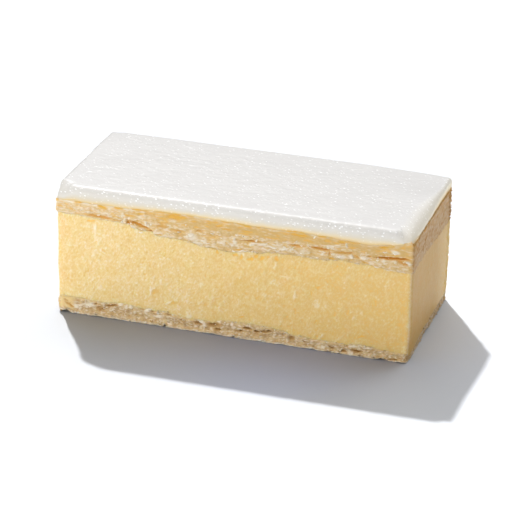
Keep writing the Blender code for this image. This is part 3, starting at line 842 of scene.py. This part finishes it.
def icing_material():
    """White fondant, poured and set: semi-gloss, opaque white, with a sugary grain whose dots are painted white
    as glints.
    """
    material, tree, shader, where = start_material("white_fondant")
    lip = add(tree, "Attribute", {"attribute_name": "lip"}).outputs["Fac"]
    tone = add(tree, "ValToRGB", {"stops": [
        (0.0, "#D0CECC"), (0.25, "#D2CEC6"), (0.58, "#D3CBBA"), (0.82, "#DBCAA4"),
        (1.0, "#D8B878")]}, {"Fac": lip})
    # Painted shade towards the left end of the face.
    left_end = add(tree, "Attribute", {"attribute_name": "left_end"}).outputs["Fac"]
    shaded = add(tree, "Mix", {"data_type": "RGBA", "blend_type": "MULTIPLY"},
                 {0: left_end, 6: tone.outputs["Color"], 7: paint("#F3F1ED")})
    # Painted glints: white dots a quarter to half a millimetre across on the sugar grains, lying along the way
    # the icing was spread, more of them on the rolled edge and fewer down the face.
    stray = add(tree, "TexNoise", None, {"Vector": where, "Scale": 1 / (0.5 * MM), "Detail": 1.0})
    shaken = add(tree, "VectorMath", {"operation": "MULTIPLY_ADD"}, {
        0: stray.outputs["Color"], 1: (0.45 * MM,) * 3, 2: where})
    spread = add(tree, "Mapping", {"vector_type": "TEXTURE"}, {
        "Vector": shaken.outputs["Vector"], "Rotation": (0, 0, np.radians(-32)), "Scale": (2.0, 1.0, 1.0)})
    cells = add(tree, "TexVoronoi", None, {"Vector": spread.outputs["Vector"], "Scale": 1 / (0.8 * MM)})
    dots = add(tree, "MapRange", None, {"Value": cells.outputs["Distance"],
                                        "From Min": 0.34, "From Max": 0.10})
    chosen = add(tree, "SeparateColor", None, {"Color": cells.outputs["Color"]})
    ridge_glints = add(tree, "MapRange", None, {"Value": lip, "From Max": 0.08, "To Max": 0.28})
    richer = add(tree, "Math", {"operation": "ADD"},
                 {0: chosen.outputs["Red"], 1: ridge_glints.outputs["Result"]})
    kept = add(tree, "MapRange", None, {"Value": richer.outputs["Value"],
                                        "From Min": 0.45, "From Max": 1.0})
    clear = add(tree, "MapRange", None, {"Value": lip, "From Min": 0.2, "From Max": 0.7,
                                         "To Min": 1.0, "To Max": 0.25})
    amount = add(tree, "Math", {"operation": "MULTIPLY"},
                 {0: kept.outputs["Result"], 1: clear.outputs["Result"]})
    beads_and_glints = add(tree, "Math", {"operation": "MULTIPLY"},
                 {0: dots.outputs["Result"], 1: amount.outputs["Value"]}).outputs["Value"]
    colour = add(tree, "Mix", {"data_type": "RGBA"},
                 {0: beads_and_glints, 6: shaded.outputs[2], 7: paint("#FFFFFF")})
    tree.links.new(colour.outputs[2], shader.inputs["Base Color"])
    shader.inputs["Roughness"].default_value = 0.42
    shader.inputs["Coat Weight"].default_value = 0.28
    shader.inputs["Coat Roughness"].default_value = 0.2
    ripples = add(tree, "TexNoise", None, {"Vector": spread.outputs["Vector"], "Scale": 1 / (0.7 * MM),
                                           "Detail": 2.0})
    height = add(tree, "Math", {"operation": "MULTIPLY_ADD"},
                 {0: ripples.outputs["Fac"], 1: 0.15, 2: beads_and_glints})
    pebbled = add(tree, "Math", {"operation": "MULTIPLY_ADD"},
                  {0: stray.outputs["Fac"], 1: 0.35, 2: height.outputs["Value"]})
    dents = add(tree, "Bump", None, {"Height": pebbled.outputs["Value"], "Distance": 0.08 * MM,
                                     "Strength": 0.8})
    tree.links.new(dents.outputs["Normal"], shader.inputs["Normal"])
    return material


def floor_material():
    """Matte white table top."""
    material, tree, shader, where = start_material("matte_white_table")
    shader.inputs["Base Color"].default_value = paint("#C2C5CA")
    shader.inputs["Roughness"].default_value = 0.9
    return material


# ---------------------------------------------------------------- pieces in the frame

custard_cream = custard_piece()
upper_leaves, upper_rings, upper_block = upper_pastry_piece()
lower_leaves, lower_rings, lower_block = lower_pastry_piece()
fondant = icing_piece()
upper_flakes = flakes_piece("upper_pastry_flakes", upper_rings, upper_block,
                            np.flatnonzero(upper_block.right < 0.3), (3, 30), 170, 101,
                            (0.4, 1.2), (0.5, 1.0), HELD_FLAKES)
lower_flakes = flakes_piece("lower_pastry_flakes", lower_rings, lower_block,
                            np.arange(len(lower_block.x)), (1, 29), 300, 103,
                            (0.4, 1.1), (0.0, 0.8), ())
chance = np.random.default_rng(107)
crumb_columns = chance.integers(0, lower_rings.shape[1], 300)
crumb_levels = chance.choice([1, 2, 24, 26, 28], 300, p=[0.3, 0.2, 0.15, 0.15, 0.2])
crumbs = crumbs_piece("pastry_crumbs", lower_rings[crumb_levels, crumb_columns], 109,
                      (0.14, 0.34))

soaked_pastry = pastry_material("soaked_puff_pastry", ("#C8A66A", "#D8BC8B"), "#CDAA68", "#E2D6C0",
                                "#DDAC4A", "#C4842F", "#E0D3C1")
dry_pastry = pastry_material("dry_puff_pastry", ("#B09164", "#D2B88B"), "#DFC48A", "#E6DAC4",
                             "#C09048", "#8A6430", "#FFFFFF")
slice_alone = bpy.data.collections.new("slice_alone")
icing_alone = bpy.data.collections.new("icing_alone")
icing_alone.objects.link(fondant)
for piece, nodes, slot, material in (
        (custard_cream, ("custard",), "custard", custard_material()),
        (upper_leaves, ("upper_pastry",), "pastry", soaked_pastry),
        (lower_leaves, ("lower_pastry",), "pastry", dry_pastry),
        (fondant, ("icing",), "icing", icing_material()),
        (upper_flakes, (), "pastry", flake_material("soaked_pastry_flake", "#DFC798", "#EADFCB")),
        (lower_flakes, (), "pastry", flake_material("dry_pastry_flake", "#B08C54", "#E2D5BC")),
        (crumbs, (), "pastry", dry_pastry)):
    piece.data.materials.append(material)
    if nodes:
        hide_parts(*nodes)
    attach(piece, "root")
    slice_alone.objects.link(piece)


# ---------------------------------------------------------------- table, light and camera

def direction(azimuth, elevation):
    """Unit vector from the slice towards a place seen at that bearing: 0 is the front, 90 the right."""
    turn, rise = np.radians(azimuth), np.radians(elevation)
    return Vector((np.sin(turn) * np.cos(rise), -np.cos(turn) * np.cos(rise), np.sin(rise)))


table_mesh = bpy.data.meshes.new("table")
table_shape = bmesh.new()
bmesh.ops.create_grid(table_shape, x_segments=8, y_segments=8, size=1.2)
table_shape.to_mesh(table_mesh)
table_shape.free()
table_mesh.materials.append(floor_material())
table = bpy.data.objects.new("table", table_mesh)
bpy.context.scene.collection.objects.link(table)
table_alone = bpy.data.collections.new("table_alone")
table_alone.objects.link(table)

world = bpy.data.worlds.new("studio")
bpy.context.scene.world = world
world.use_nodes = True
world.node_tree.nodes["Background"].inputs["Color"].default_value = paint("#FFFFFF")
world.node_tree.nodes["Background"].inputs["Strength"].default_value = 0.28


def lamp(name, kind, bearing, power, size, distance=1.0, only=None, shines=True, tint="#FFFFFF"):
    """A light shining at the slice from a bearing.

    only is the collection that it lights, if not all. One that doesn't shine leaves no highlight.
    """
    data = bpy.data.lights.new(name, kind)
    data.energy = power
    data.color = paint(tint)[:3]
    if kind == "SUN":
        data.angle = np.radians(size)
    else:
        data.shape, data.size = "DISK", size
    light = bpy.data.objects.new(name, data)
    light.visible_camera = False
    light.light_linking.receiver_collection = only
    light.visible_glossy = shines
    light.location = direction(*bearing) * distance
    light.rotation_euler = direction(*bearing).to_track_quat("Z", "Y").to_euler()
    bpy.context.scene.collection.objects.link(light)
    return light


# The table is lit up to white by a sun of its own, and flags keep the front fills off it.
lamp("key_sun", "SUN", (213, 45), 1.00, 2.0, only=slice_alone)
lamp("table_sun", "SUN", (213, 45), 4.80, 2.0, only=table_alone)
lamp("back_softbox", "SUN", (187, 55), 1.62, 60.0)
lamp("low_front_fill", "AREA", (-30, 6), 0.73, 0.10, 0.45, only=slice_alone, shines=False)
lamp("high_front_fill", "AREA", (-30, 45), 0.56, 0.12, 0.45, only=slice_alone, shines=False)
lamp("corner_fill", "SUN", (50, 25), 0.3, 30.0, only=slice_alone, shines=False)
lamp("right_fill", "SUN", (75, 12), 1.0, 40.0, only=icing_alone, shines=False)
lamp("table_sky", "SUN", (145, 30), 0.82, 50.0, only=table_alone)
lamp("cool_reflector", "AREA", (22, 40), 0.0038, 0.07, 0.06, only=table_alone, tint="#5F92FF")

CAMERA_BEARING = (17.24, 24.11)
CAMERA_ROLL = 0.97
CAMERA_DISTANCE = 0.8099
VIEW_SHIFT = (0.00057, 0.01515)     # sideways and up, from the middle of the footprint
MIDDLE = Vector((0, 1.35 * MM, 0))

camera_data = bpy.data.cameras.new("camera")
camera_data.sensor_width = 36.0
camera_data.lens = 2500 / 512 * 36.0
camera = bpy.data.objects.new("camera", camera_data)
bpy.context.scene.collection.objects.link(camera)
back = direction(*CAMERA_BEARING)
right = Vector((0, 0, 1)).cross(back).normalized()
up = back.cross(right)
roll = Matrix.Rotation(np.radians(CAMERA_ROLL), 3, back)
right, up = roll @ right, roll @ up
camera.matrix_world = Matrix.Translation(
    MIDDLE + right * VIEW_SHIFT[0] + up * VIEW_SHIFT[1] + back * CAMERA_DISTANCE
) @ Matrix((right, up, back)).transposed().to_4x4()
bpy.context.scene.camera = camera
bpy.context.scene.view_settings.view_transform = "Standard"
